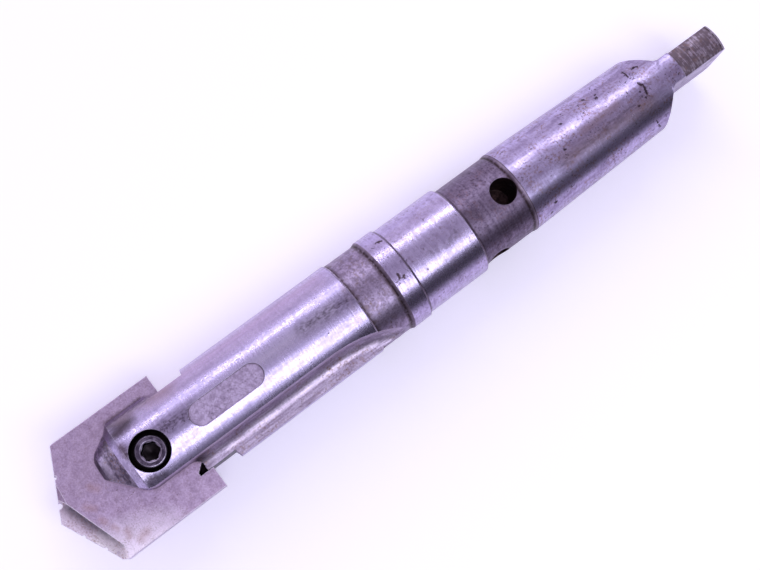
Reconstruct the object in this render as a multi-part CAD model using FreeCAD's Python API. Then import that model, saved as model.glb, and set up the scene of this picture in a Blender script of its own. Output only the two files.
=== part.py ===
import FreeCAD, Part
import math
import os

# Indexable spade drill with a taper shank, in millimetres.
# X runs along the axis from the cutting point to the tang, Z is square to the flat blade, and the
# origin lies on the axis at the gauge plane, the big end of the taper.
# Stations on the tip side of the gauge plane are negative.

V = FreeCAD.Vector
AXIS = V(1, 0, 0)
UP = V(0, 0, 1)
ORIGIN = V(0, 0, 0)

# Taper shank and tang
GAUGE_DIAMETER = 23.825
TAPER_PER_MM = 0.0502
SHANK_LENGTH = 69.6
TANG_THICKNESS = 7.94
TANG_LENGTH = 19.4
TANG_TURNED_DIAMETER = 17.5
TANG_TURNED_LENGTH = 14.4
TANG_SHOULDER_LENGTH = 0.8
TANG_RUNOUT_ANGLE = 52.0
TANG_RUNOUT_RADIUS = 2.0
TANG_END_CHAMFER = 1.2

# Coolant ring, seal land, collar and marking ring, from the gauge plane towards the tip
SHANK_LEAD = 1.2
COOLANT_RING_DIAMETER = 23.3
COOLANT_RING_LENGTH = 15.8
SEAL_LAND_DIAMETER = 25.4
SEAL_LAND_LENGTH = 18.9
SEAL_LAND_CHAMFER = 0.5
COLLAR_DIAMETER = 26.5
COLLAR_LENGTH = 5.5
COLLAR_LEAD = 1.0
COLLAR_REAR_CHAMFER = 0.4
MARKING_RING_DIAMETER = 25.6
MARKING_RING_LENGTH = 8.9
BODY_REAR_CHAMFER = 0.3

# Fluted body, from the marking ring to the bottom of the blade slot
BODY_DIAMETER = 26.4
BODY_LENGTH = 52.6
FLUTE_WALL_OFFSET = 7.3
FLUTE_FLOOR_HEIGHT = 2.2
FLUTE_CORNER_RADIUS = 3.2
FLUTE_RUNOUT_RADIUS = 45.0
FLUTE_END_FROM_COLLAR = 0.9
NECK_ACROSS_FLATS = 22.0
NECK_LENGTH = 8.7
NECK_REAR_RUNOUT = 0.5
NECK_FRONT_RUNOUT = 1.7
NECK_FRONT_LEAD = 1.0
PAD_LENGTH = 20.9
PAD_WIDTH = 6.1
PAD_DEPTH = 0.5
PAD_SETBACK = 3.5

# Jaws, from the bottom of the blade slot to the nose
JAW_LENGTH = 20.6
NOSE_FACE_DIAMETER = 14.6
NOSE_LIP_LENGTH = 1.0
NOSE_LIP_DIAMETER = 17.6
NOSE_CONE_LENGTH = 4.4
NOSE_CONE_ANGLE = 30.0
NOSE_SHOULDER_ANGLE = 45.0
NOSE_BEVEL_ANGLE = 51.0
NOSE_BEVEL_START = 1.5
NOSE_BEVEL_RADIUS = 5.0
JAW_FILLET_CLEAR = 2.6
JAW_CLEAR_RADIUS = 3.0

# Spade blade
BLADE_WIDTH = 33.34
BLADE_THICKNESS = 4.76
BLADE_LENGTH = 35.68
FIRST_LIP_HALF_ANGLE = 66.0
SECOND_LIP_HALF_ANGLE = 64.0
LIP_CLEARANCE_ANGLE = 10.0
LIP_CORNER_CHAMFER = 1.1
EAR_REACH = 1.5
EAR_NOTCH_DEPTH = 2.2
EAR_NOTCH_WIDTH = 2.7
EAR_NOTCH_FLAT = 0.9
CURLER_TURN = 18.0
CURLER_RADIUS = 5.0
CURLER_DEPTH = 1.7
CURLER_BACK = 4.95
CURLER_LENGTH = 15.0
THINNING_SETBACK = 4.0
THINNING_SLANT = 6.7
THINNING_ANGLE = 18.0
FIRST_LIP_NICKS = ((5.9, 0.5, 0.4), (11.4, 0.5, 0.45))
SECOND_LIP_NICKS = ((3.6, 0.75, 0.9), (9.6, 0.5, 0.55))

# Clamp screw, number 10 socket head
SCREW_SETBACK = 8.1
SCREW_DIAMETER = 4.83
SCREW_LENGTH = 19.05
SCREW_END_CHAMFER = 0.5
HEAD_DIAMETER = 7.92
HEAD_HEIGHT = 4.83
HEAD_CHAMFER = 0.3
HEX_ACROSS_FLATS = 3.97
HEX_DEPTH = 2.4
HEX_MOUTH_CHAMFER = 0.25
HEX_TURN = 38.0
HEAD_SINK = 2.0

# Coolant passages
COOLANT_BORE_DIAMETER = 6.0
COOLANT_HOLE_DIAMETER = 7.1
FIRST_HOLE_STATION = -4.6
SECOND_HOLE_STATION = -12.9
OUTLET_DIAMETER = 2.8
OUTLET_OFFSET = 8.9
OUTLET_ANGLE = 20.0

# Fits
SLOT_SIDE_GAP = 0.02
SEAT_GAP = 0.02
EAR_GAP = 0.15
THREAD_GAP = 0.03
JAW_HOLE_GAP = 0.24
BLADE_HOLE_GAP = 0.4
COUNTERBORE_GAP = 1.1

# Stations worked out from the lengths above
COOLANT_RING_FRONT = -SHANK_LEAD - COOLANT_RING_LENGTH
SEAL_LAND_FRONT = COOLANT_RING_FRONT - SEAL_LAND_LENGTH
COLLAR_FRONT = SEAL_LAND_FRONT - COLLAR_LENGTH
MARKING_RING_FRONT = COLLAR_FRONT - COLLAR_LEAD - MARKING_RING_LENGTH
SLOT_BOTTOM = MARKING_RING_FRONT - BODY_LENGTH
NOSE_FACE = SLOT_BOTTOM - JAW_LENGTH
SCREW_STATION = SLOT_BOTTOM - SCREW_SETBACK
POINT_STATION = SLOT_BOTTOM - SEAT_GAP - BLADE_LENGTH
NECK_REAR = SLOT_BOTTOM + NECK_LENGTH
TANG_START = SHANK_LENGTH - TANG_LENGTH
BODY_RADIUS = BODY_DIAMETER / 2
HALF_BLADE = BLADE_THICKNESS / 2
HALF_SLOT = HALF_BLADE + SLOT_SIDE_GAP
HEAD_TOP = BODY_RADIUS - HEAD_SINK
HEAD_SEAT = HEAD_TOP - HEAD_HEIGHT

# How far the cutting shapes reach past the surfaces that they cut, and how near counts as touching
FAR = 4 * BODY_DIAMETER
CLEAR = 1.0
TOUCH = 1e-6


def shank_radius(station):
    """Radius of the taper at a station behind the gauge plane."""
    return (GAUGE_DIAMETER - TAPER_PER_MM * station) / 2


def polygon(points):
    """Closed flat face through points, each an (x, y, z) tuple."""
    corners = [V(*p) for p in points]
    return Part.Face(Part.makePolygon(corners + corners[:1]))


def prism(points, direction):
    return polygon(points).extrude(direction)


def turned(points):
    """Solid turned about the drill's axis from (station, radius) points."""
    ends = [(points[0][0], 0), *points, (points[-1][0], 0)]
    profile = polygon([(x, r, 0) for x, r in ends])
    return profile.revolve(ORIGIN, AXIS, 360)


def half_turn(shape):
    """Copy of a shape on the other side of the axis."""
    copy = shape.copy()
    copy.rotate(ORIGIN, AXIS, 180)
    return copy


def rod(station, radius, bottom, top):
    """Round bar square to the blade, centred on the axis at a station."""
    return Part.makeCylinder(radius, top - bottom, V(station, 0, bottom), UP)


def outside_block(front, start, middle, stop):
    """Block that clears everything on the -Y side of a straight line that ends in an arc."""
    rear = V(stop.x, -FAR, stop.z)
    corner = V(front.x, -FAR, front.z)
    outline = Part.Wire([
        Part.makeLine(front, start),
        Part.Arc(start, middle, stop).toShape(),
        Part.makeLine(stop, rear),
        Part.makeLine(rear, corner),
        Part.makeLine(corner, front),
    ])
    return Part.Face(outline).extrude(UP * FAR)


def holder_blank():
    """The turned bar: taper shank, rings, body and nose cones."""
    lip_end = NOSE_FACE + NOSE_LIP_LENGTH
    cone_end = lip_end + NOSE_CONE_LENGTH
    cone_radius = NOSE_LIP_DIAMETER / 2 + NOSE_CONE_LENGTH * math.tan(math.radians(NOSE_CONE_ANGLE))
    shoulder = (BODY_RADIUS - cone_radius) / math.tan(math.radians(NOSE_SHOULDER_ANGLE))
    land_radius = SEAL_LAND_DIAMETER / 2
    turned_start = SHANK_LENGTH - TANG_TURNED_LENGTH
    shoulder_start = turned_start - TANG_SHOULDER_LENGTH
    tang_radius = TANG_TURNED_DIAMETER / 2
    return turned([
        (NOSE_FACE, NOSE_FACE_DIAMETER / 2),
        (lip_end, NOSE_LIP_DIAMETER / 2),
        (cone_end, cone_radius),
        (cone_end + shoulder, BODY_RADIUS),
        (MARKING_RING_FRONT - BODY_REAR_CHAMFER, BODY_RADIUS),
        (MARKING_RING_FRONT, BODY_RADIUS - BODY_REAR_CHAMFER),
        (MARKING_RING_FRONT, MARKING_RING_DIAMETER / 2),
        (COLLAR_FRONT - COLLAR_LEAD, MARKING_RING_DIAMETER / 2),
        (COLLAR_FRONT, COLLAR_DIAMETER / 2),
        (SEAL_LAND_FRONT - COLLAR_REAR_CHAMFER, COLLAR_DIAMETER / 2),
        (SEAL_LAND_FRONT, COLLAR_DIAMETER / 2 - COLLAR_REAR_CHAMFER),
        (SEAL_LAND_FRONT, land_radius),
        (COOLANT_RING_FRONT - SEAL_LAND_CHAMFER, land_radius),
        (COOLANT_RING_FRONT, land_radius - SEAL_LAND_CHAMFER),
        (COOLANT_RING_FRONT, COOLANT_RING_DIAMETER / 2),
        (-SHANK_LEAD, COOLANT_RING_DIAMETER / 2),
        (0, GAUGE_DIAMETER / 2),
        (shoulder_start, shank_radius(shoulder_start)),
        (turned_start, tang_radius),
        (SHANK_LENGTH - TANG_END_CHAMFER, tang_radius),
        (SHANK_LENGTH, tang_radius - TANG_END_CHAMFER),
    ])


def tang_cutter():
    """Block that mills one flat of the tang, with its sloped run-out and rounded root."""
    flat = TANG_THICKNESS / 2
    top = GAUGE_DIAMETER
    slope = (top - flat) / math.tan(math.radians(TANG_RUNOUT_ANGLE))
    block = prism([
        (TANG_START, flat, -FAR),
        (SHANK_LENGTH + CLEAR, flat, -FAR),
        (SHANK_LENGTH + CLEAR, top, -FAR),
        (TANG_START - slope, top, -FAR),
    ], V(0, 0, 2 * FAR))

    def at_root(edge):
        middle = edge.CenterOfMass
        return abs(middle.x - TANG_START) < TOUCH and abs(middle.y - flat) < TOUCH

    return block.makeFillet(TANG_RUNOUT_RADIUS, [edge for edge in block.Edges if at_root(edge)])


def flute_cutter():
    """Straight flute on the -Y side above the blade, leaving the bar in a wide arc by the collar."""
    radius = FLUTE_RUNOUT_RADIUS
    outside = COLLAR_DIAMETER / 2
    rise = outside - FLUTE_WALL_OFFSET
    end = COLLAR_FRONT - FLUTE_END_FROM_COLLAR
    run = math.sqrt(2 * radius * rise - rise * rise)
    half = math.asin(run / radius) / 2
    start = V(end - run, -FLUTE_WALL_OFFSET, FLUTE_FLOOR_HEIGHT)
    middle = start + V(radius * math.sin(half), -radius * (1 - math.cos(half)), 0)
    stop = V(end, -outside, FLUTE_FLOOR_HEIGHT)
    block = outside_block(V(NOSE_FACE - CLEAR, start.y, start.z), start, middle, stop)

    def wall_foot(edge):
        low = abs(edge.CenterOfMass.z - FLUTE_FLOOR_HEIGHT) < TOUCH
        return low and edge.BoundBox.YMax > -outside + TOUCH and edge.BoundBox.YMin > -outside - TOUCH

    return block.makeFillet(FLUTE_CORNER_RADIUS, [edge for edge in block.Edges if wall_foot(edge)])


def jaw_side_cutter():
    """Clears the flute's corner radius off the blade's face beside the jaw."""
    radius = JAW_CLEAR_RADIUS
    start = V(SLOT_BOTTOM - JAW_FILLET_CLEAR, -FLUTE_WALL_OFFSET, HALF_BLADE)
    diagonal = radius * math.sin(math.radians(45))
    middle = start + V(diagonal, diagonal - radius, 0)
    stop = start + V(radius, -radius, 0)
    return outside_block(V(NOSE_FACE - CLEAR, start.y, start.z), start, middle, stop)


def nose_bevel_cutter():
    """Relief across the leading corner of the upper jaw's nose, rounded into the flute's wall."""
    angle = math.radians(NOSE_BEVEL_ANGLE)
    wall = -FLUTE_WALL_OFFSET
    radius = NOSE_BEVEL_RADIUS
    meeting = NOSE_FACE + (NOSE_BEVEL_START - wall) / math.tan(angle)
    tangent = radius * math.tan(angle / 2)
    stop = V(meeting + tangent, wall, 0)
    centre = stop + V(0, radius, 0)
    start = centre + V(-math.sin(angle), -math.cos(angle), 0) * radius
    middle = centre + V(-math.sin(angle / 2), -math.cos(angle / 2), 0) * radius
    front = V(NOSE_FACE - CLEAR, NOSE_BEVEL_START + CLEAR * math.tan(angle), 0)
    return outside_block(front, start, middle, stop)


def neck_cutter():
    """Flat on one side of the neck, where an ear of the blade sits."""
    flat = NECK_ACROSS_FLATS / 2
    top = BODY_RADIUS + CLEAR
    steep = (top - flat) / (BODY_RADIUS - flat)
    front = SLOT_BOTTOM - NECK_FRONT_LEAD
    rear = NECK_REAR - NECK_REAR_RUNOUT
    return prism([
        (front, flat, -FAR),
        (rear, flat, -FAR),
        (rear + NECK_REAR_RUNOUT * steep, top, -FAR),
        (front - NECK_FRONT_RUNOUT * steep, top, -FAR),
    ], V(0, 0, 2 * FAR))


def pad_cutter():
    """Shallow flat-bottomed pad with round ends on the crest of the body."""
    radius = PAD_WIDTH / 2
    first = SLOT_BOTTOM + PAD_SETBACK + radius
    last = first + PAD_LENGTH - PAD_WIDTH
    bottom = BODY_RADIUS - PAD_DEPTH
    top = BODY_RADIUS + CLEAR
    bar = Part.makeBox(last - first, PAD_WIDTH, top - bottom, V(first, -radius, bottom))
    return bar.multiFuse([rod(station, radius, bottom, top) for station in (first, last)])


def slot_cutter():
    front = NOSE_FACE - CLEAR
    return Part.makeBox(SLOT_BOTTOM - front, 2 * FAR, 2 * HALF_SLOT, V(front, -FAR, -HALF_SLOT))


def screw_hole_cutters():
    """Counterbore, clearance hole through the upper jaw and threaded hole in the lower one."""
    shank = SCREW_DIAMETER / 2
    counterbore = rod(SCREW_STATION, HEAD_DIAMETER / 2 + COUNTERBORE_GAP, HEAD_SEAT - SEAT_GAP, FAR)
    clearance = rod(SCREW_STATION, shank + JAW_HOLE_GAP, 0, HEAD_SEAT)
    threaded = rod(SCREW_STATION, shank + THREAD_GAP, -FAR, 0)
    return [counterbore, clearance, threaded]


def coolant_cutters():
    """Axial bore from the slot back to two radial holes, and two slanted outlets beside the blade."""
    length = FIRST_HOLE_STATION - SLOT_BOTTOM
    hole = COOLANT_HOLE_DIAMETER / 2
    slope = math.radians(OUTLET_ANGLE)
    cutters = [
        Part.makeCylinder(COOLANT_BORE_DIAMETER / 2, length, V(SLOT_BOTTOM, 0, 0), AXIS),
        Part.makeCylinder(hole, FAR, V(FIRST_HOLE_STATION, 0, 0), UP),
        Part.makeCylinder(hole, FAR, V(SECOND_HOLE_STATION, 0, 0), V(0, -1, 0)),
    ]
    for side in (1, -1):
        direction = V(math.cos(slope), -side * math.sin(slope), 0)
        mouth = V(SLOT_BOTTOM, side * OUTLET_OFFSET, 0) - direction * OUTLET_DIAMETER
        reach = OUTLET_OFFSET / math.sin(slope) + OUTLET_DIAMETER
        cutters.append(Part.makeCylinder(OUTLET_DIAMETER / 2, reach, mouth, direction))
    return cutters


def holder_body():
    one_side = [tang_cutter(), flute_cutter(), jaw_side_cutter(), nose_bevel_cutter(), neck_cutter()]
    cutters = [slot_cutter(), pad_cutter()]
    for cutter in one_side:
        cutters += [cutter, half_turn(cutter)]
    return holder_blank().cut(cutters + screw_hole_cutters() + coolant_cutters())


def blade_blank():
    """Flat plate with a square back, ears, and relief notches in the corners of its recess."""
    half = BLADE_WIDTH / 2
    seat = SLOT_BOTTOM - SEAT_GAP
    inner = NECK_ACROSS_FLATS / 2 + EAR_GAP
    notch = seat - EAR_NOTCH_DEPTH
    right = [
        (POINT_STATION - CLEAR, half),
        (seat + EAR_REACH, half),
        (seat + EAR_REACH, inner),
        (notch, inner),
        (notch, inner - EAR_NOTCH_FLAT),
        (seat, inner - EAR_NOTCH_WIDTH),
    ]
    left = [(x, -y) for x, y in reversed(right)]
    return prism([(x, y, -HALF_BLADE) for x, y in right + left], UP * BLADE_THICKNESS)


def screw_slot_cutter():
    """Slot open to the back, so that the blade slips off round the slackened screw."""
    radius = SCREW_DIAMETER / 2 + BLADE_HOLE_GAP
    end = rod(SCREW_STATION, radius, -FAR, FAR)
    way = Part.makeBox(FAR, 2 * radius, 2 * FAR, V(SCREW_STATION, -radius, -FAR))
    return end.fuse(way)


def lip_station(offset, half_angle):
    """Station of a lip, on the face that it is ground from, at a distance from the axis."""
    return POINT_STATION + offset / math.tan(math.radians(half_angle))


def flank_cutter(half_angle):
    """Takes off what lies in front of the upper lip's flank, which falls back below the lip."""
    half = BLADE_WIDTH
    fall = math.tan(math.radians(LIP_CLEARANCE_ANGLE))
    low = -HALF_BLADE - CLEAR
    high = HALF_BLADE + CLEAR
    back = fall * (HALF_BLADE - low)
    return prism([
        (lip_station(-half, half_angle) + back, half, low),
        (lip_station(half, half_angle) + back, -half, low),
        (POINT_STATION - FAR, -half, low),
        (POINT_STATION - FAR, half, low),
    ], V(-fall * (high - low), 0, high - low))


def corner_cutter(half_angle):
    """Small chamfer that protects the outer corner of the upper lip."""
    half = BLADE_WIDTH / 2
    cut = LIP_CORNER_CHAMFER
    on_lip = V(lip_station(half - cut, half_angle), cut - half, -FAR)
    on_side = V(lip_station(half, half_angle) + cut, -half, -FAR)
    along = on_side - on_lip
    outer = V(on_lip.x - cut, -half - cut, -FAR)
    return prism([on_lip - along, on_side + along, outer], V(0, 0, 2 * FAR))


def curler_cutter():
    """Chip-curler hollow behind the upper lip: a round-bottomed groove with a round outer end."""
    turn = math.radians(CURLER_TURN)
    along = V(math.sin(turn), -math.cos(turn), 0)
    across = V(math.cos(turn), math.sin(turn), 0)
    lift = CURLER_RADIUS - CURLER_DEPTH
    half_width = math.sqrt(CURLER_RADIUS ** 2 - lift ** 2)
    middle = V(POINT_STATION, 0, HALF_BLADE + lift) + across * (CURLER_BACK - half_width)
    end = middle + along * CURLER_LENGTH
    start = middle - along * (CURLER_LENGTH / 2)
    bar = Part.makeCylinder(CURLER_RADIUS, 1.5 * CURLER_LENGTH, start, along)
    return bar.fuse(Part.makeSphere(CURLER_RADIUS, end))


def thinning_cutter():
    """Facet that thins the web on the upper face, behind the lower lip."""
    line = POINT_STATION + THINNING_SETBACK
    drop = math.tan(math.radians(THINNING_ANGLE))
    reach = 2 * THINNING_SETBACK
    return prism([
        (line, 0, HALF_BLADE),
        (line - reach, 0, HALF_BLADE - drop * reach),
        (line - reach, 0, HALF_BLADE + CLEAR),
        (line, 0, HALF_BLADE + CLEAR),
    ], V(math.tan(math.radians(THINNING_SLANT)), 1, 0) * BLADE_WIDTH)


def nick_cutter(half_angle, offset, radius, depth):
    """Chip-splitter nick that runs down the upper lip's flank."""
    fall = math.tan(math.radians(LIP_CLEARANCE_ANGLE)) * HALF_BLADE
    length = 4 * BLADE_THICKNESS
    groove = Part.makeCylinder(radius, length, V(0, 0, -length / 2), UP)
    mouth = Part.makeBox(BLADE_THICKNESS, 2 * radius, length, V(-BLADE_THICKNESS, -radius, -length / 2))
    nick = groove.fuse(mouth)
    nick.rotate(ORIGIN, V(0, 1, 0), -LIP_CLEARANCE_ANGLE)
    nick.translate(V(lip_station(offset, half_angle) + fall + depth - radius, -offset, 0))
    return nick


def lip_cutters(half_angle, nicks):
    """Everything that is ground away to make the upper lip."""
    cutters = [flank_cutter(half_angle), corner_cutter(half_angle), curler_cutter(), thinning_cutter()]
    return cutters + [nick_cutter(half_angle, *nick) for nick in nicks]


def spade_blade():
    first = lip_cutters(FIRST_LIP_HALF_ANGLE, FIRST_LIP_NICKS)
    second = lip_cutters(SECOND_LIP_HALF_ANGLE, SECOND_LIP_NICKS)
    return blade_blank().cut([screw_slot_cutter(), *first, *[half_turn(cutter) for cutter in second]])


def clamp_screw():
    head_radius = HEAD_DIAMETER / 2
    thread_radius = SCREW_DIAMETER / 2
    tip = HEAD_SEAT - SCREW_LENGTH
    profile = polygon([
        (0, 0, tip),
        (thread_radius - SCREW_END_CHAMFER, 0, tip),
        (thread_radius, 0, tip + SCREW_END_CHAMFER),
        (thread_radius, 0, HEAD_SEAT),
        (head_radius, 0, HEAD_SEAT),
        (head_radius, 0, HEAD_TOP - HEAD_CHAMFER),
        (head_radius - HEAD_CHAMFER, 0, HEAD_TOP),
        (0, 0, HEAD_TOP),
    ])
    screw = profile.revolve(ORIGIN, UP, 360)
    corner = HEX_ACROSS_FLATS / math.sqrt(3)
    bottom = HEAD_TOP - HEX_DEPTH
    angles = [math.radians(HEX_TURN + 60 * side) for side in range(6)]
    hexagon = [(corner * math.cos(angle), corner * math.sin(angle), bottom) for angle in angles]
    socket = prism(hexagon, UP * (HEX_DEPTH + CLEAR))
    mouth = Part.makeCone(corner - HEX_MOUTH_CHAMFER, corner + HEX_MOUTH_CHAMFER, 2 * HEX_MOUTH_CHAMFER,
                          V(0, 0, HEAD_TOP - HEX_MOUTH_CHAMFER))
    screw = screw.cut([socket, mouth])
    screw.translate(V(SCREW_STATION, 0, 0))
    return screw


def save(name, shape):
    solids = shape.Solids
    if len(solids) != 1 or not solids[0].isValid():
        raise ValueError(f"{name}: {len(solids)} solids, or an invalid one")
    solids[0].exportStep(f"parts/{name}.step")
    print(name, round(solids[0].Volume, 1), "mm3")


os.makedirs("parts", exist_ok=True)
save("holder_body", holder_body())
save("spade_blade", spade_blade())
save("clamp_screw", clamp_screw())
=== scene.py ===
import math

import bmesh
import bpy
from mathutils import Matrix, Vector


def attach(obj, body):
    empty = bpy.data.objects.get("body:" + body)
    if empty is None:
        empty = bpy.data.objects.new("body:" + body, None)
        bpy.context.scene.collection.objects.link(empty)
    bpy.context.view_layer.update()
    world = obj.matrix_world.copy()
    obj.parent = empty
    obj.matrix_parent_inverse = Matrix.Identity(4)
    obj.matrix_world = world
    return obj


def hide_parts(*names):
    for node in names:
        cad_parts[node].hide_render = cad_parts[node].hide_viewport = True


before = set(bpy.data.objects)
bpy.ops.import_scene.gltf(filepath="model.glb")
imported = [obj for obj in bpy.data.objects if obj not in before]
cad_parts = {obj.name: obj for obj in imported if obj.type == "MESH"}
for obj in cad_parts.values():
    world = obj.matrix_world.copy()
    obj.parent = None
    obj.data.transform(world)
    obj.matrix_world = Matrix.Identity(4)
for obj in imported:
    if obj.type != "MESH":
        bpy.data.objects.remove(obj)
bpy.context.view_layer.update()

# A used spade drill: ground and turned steel, seen from above on white paper.
# Lengths are in millimetres up to the point where a mesh or a node takes them in metres.
MM = 0.001

# Camera, at the photograph's angle
CAMERA_AT = Vector((-0.1027, -0.0352, 0.3133))
CAMERA_AIM = Vector((-0.0420, 0.0007, 0.0))
CAMERA_ROLL = math.radians(-37.66)
CAMERA_LENS = 59.83
SENSOR_WIDTH = 36.0
CLIP_START = 0.01

# Stations along the axis, as in the solids
TANG_STEP = 54.4
TANG_END = 69.6
TANG_FLAT = 3.97
LEAD_END = -1.2
COOLANT_FRONT = -17.0
LAND_CHAMFER = -17.5
LAND_FRONT = -35.9
COLLAR_FRONT = -41.4
LEAD_FRONT = -42.4
MARKING_FRONT = -51.3
BODY_CHAMFER = -51.6
SLOT_BOTTOM = -103.9
SHOULDER_FRONT = -117.2
CONE_FRONT = -119.1
NOSE_FACE = -124.5
GAUGE_RADIUS = 11.9125
TAPER_PER_MM = 0.0251
BODY_RADIUS = 13.2
COLLAR_RADIUS = 13.25
LAND_RADIUS = 12.7
RING_RADIUS = 11.65
PAD_FLOOR = 12.7
HALF_SLOT = 2.4
HALF_BLADE = 2.38
NECK_FLAT = 11.0
PAD_HALF_WIDTH = 3.1
THINNING_ANGLE = math.radians(18)

# Radii within which a facet of the holder lies in a radial hole, and in the axial bore
HOLE_REACH = 11.3
BORE_REACH = 3.2

# Clamp screw, number 10, 24 threads to the inch
SCREW_STATION = -112.0
SCREW_RADIUS = 2.415
THREAD_PITCH = 1.058
THREAD_DEPTH = 0.6
SHANK_PLAIN = 2.4
HEAD_TOP = 11.2
HEAD_SEAT = 6.37
HEAD_RADIUS = 3.96
SCREW_TIP = -12.68
HEX_FLAT = 1.985
HEX_TURN = math.radians(38)
HEX_DEPTH = 2.4
HEX_FLARE = 0.14
HEX_CORNER_ROUNDING = 0.06
COUNTERBORE_RADIUS = 5.1
MOUTH_DEPTH = 0.33
KNURL_RIDGES = 48
KNURL_DEPTH = 0.16
KNURL_FADE = 0.35
KNURL_FROM_SEAT, KNURL_FROM_TOP = 0.35, 0.55
THREAD_FADE = 0.9
THREAD_FROM_TIP = 0.55

# Fineness of the screw's mesh: steps round it, up its knurl and up each turn of its thread
ROUND_STEPS = 192
KNURL_STEPS = 12
THREAD_STEPS = 8

# Points closer than these, in mm, are merged: in a copy of a solid, in a band of ridges and in the screw
SOLID_MERGE = 0.0005
BAND_MERGE = 0.001
SCREW_MERGE = 0.002

# Where facets shade as one surface: bends in degrees, and how squarely a shoulder faces along the axis
CRISP_BEND = 2.0
HOLDER_BEND = 24.0
BLADE_BEND = 12.0
SCREW_BEND = 35.0
SHOULDER_FACING = 0.97

# Extra roughness of a worn edge, which scatters light as a matt surface does
EDGE_SCATTER = 0.5

# Paper: height of its top in mm and size in m, the glow that the eye and the metal see and its tint, the
# distances in mm between which its shade gives way to plain white, and those on the -Y side between which it
# turns dark to glossy rays alone, with how dark: a painted dark reflection in the metal
FLOOR_HEIGHT = -13.3
FLOOR_SIZE = 20.0
PAPER_TINT = "#fbf4ff"
FLOOR_GLOW = 0.31
GLOW_TINT = "#e9e9ff"
PLAIN_FROM, PLAIN_BEYOND = 140, 700
DARK_REFLECTION_NEAR, DARK_REFLECTION_FAR = -60, -170
DARK_REFLECTION_DEPTH = 0.76

# Room: height in m of its lamps, the tints of its walls and lamps, the side that is bright, the level of its
# dark and its bright walls, and the rise of that level towards the window
CEILING = 0.9
ROOM_TINT = "#f4ebff"
LAMP_TINT = "#eef5ff"
BRIGHT_SIDE = (-0.15, 0.8, 0.58)
DARK_WALL, BRIGHT_WALL = 0.05, 0.58
WINDOW_RISE = 0.5


def linear(code):
    """An sRGB hex colour as linear RGBA."""
    parts = [int(code[start:start + 2], 16) / 255 for start in (1, 3, 5)]
    return [p / 12.92 if p <= 0.04045 else ((p + 0.055) / 1.055) ** 2.4 for p in parts] + [1]


def add(tree, kind, inputs=None, out=0, **settings):
    """Adds a node, links or sets its inputs, and gives back one of its outputs."""
    made = tree.nodes.new(kind)
    for name, value in settings.items():
        setattr(made, name, value)
    for key, value in (inputs or {}).items():
        if isinstance(value, bpy.types.NodeSocket):
            tree.links.new(value, made.inputs[key])
        else:
            made.inputs[key].default_value = value
    return made.outputs[out] if len(made.outputs) else made


def grain(tree, place, cell, low, high, detail=3.0, turn=0.0):
    """Mask from 0 to 1 of a cloudy pattern whose features are about cell = (x, y, z) mm large, turned by
    turn degrees about Z."""
    laid = add(tree, "ShaderNodeMapping", {
        "Vector": place,
        "Scale": [size * MM for size in cell],
        "Rotation": (0, 0, math.radians(turn)),
    }, vector_type="TEXTURE")
    cloud = add(tree, "ShaderNodeTexNoise", {"Vector": laid, "Scale": 1.0, "Detail": detail})
    return add(tree, "ShaderNodeMapRange", {0: cloud, 1: low, 2: high, 3: 0.0, 4: 1.0}, clamp=True)


def ring_lines(tree, station, lines):
    """Mask of soiled lines round the bar, each (station, half width) mm."""
    mask = 0.0
    for centre, half in lines:
        away = add(tree, "ShaderNodeMath", {0: station, 1: centre * MM}, operation="SUBTRACT")
        away = add(tree, "ShaderNodeMath", {0: away}, operation="ABSOLUTE")
        line = add(tree, "ShaderNodeMapRange", {0: away, 1: half * MM, 2: 0.0, 3: 0.0, 4: 1.2}, clamp=True)
        mask = add(tree, "ShaderNodeMath", {0: mask, 1: line}, operation="MAXIMUM", use_clamp=True)
    return mask


def spots(tree, place, marks, softness):
    """Mask of marks on the surface, each (start point, end point, half width) mm. Their edges fade over
    softness times the half width."""
    mask = 0.0
    for start, end, half in marks:
        start, end = Vector(start) * MM, Vector(end) * MM
        run = end - start
        reach = add(tree, "ShaderNodeVectorMath", {0: place, 1: start}, operation="SUBTRACT")
        part = add(tree, "ShaderNodeVectorMath", {0: reach, 1: run / run.length_squared}, out="Value",
                   operation="DOT_PRODUCT")
        part = add(tree, "ShaderNodeClamp", {0: part})
        foot = add(tree, "ShaderNodeVectorMath", {0: run, "Scale": part}, operation="SCALE")
        away = add(tree, "ShaderNodeVectorMath", {0: reach, 1: foot}, out="Value", operation="DISTANCE")
        mark = add(tree, "ShaderNodeMapRange", {
            0: away, 1: half * MM, 2: half * MM * (1 - softness), 3: 0.0, 4: 1.0}, clamp=True)
        mask = add(tree, "ShaderNodeMath", {0: mask, 1: mark}, operation="MAXIMUM")
    return mask


def uneven(tree, place):
    """The place moved by a fraction of a millimetre here and there, so that marks get ragged outlines."""
    laid = add(tree, "ShaderNodeMapping", {"Vector": place, "Scale": (0.8 * MM,) * 3}, vector_type="TEXTURE")
    shake = add(tree, "ShaderNodeTexNoise", {"Vector": laid, "Scale": 1.0, "Detail": 2.0}, out="Color")
    shake = add(tree, "ShaderNodeVectorMath", {0: shake, 1: (0.5,) * 3}, operation="SUBTRACT")
    return add(tree, "ShaderNodeVectorMath", {0: shake, 1: (1.3 * MM,) * 3, 2: place},
               operation="MULTIPLY_ADD")


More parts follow.
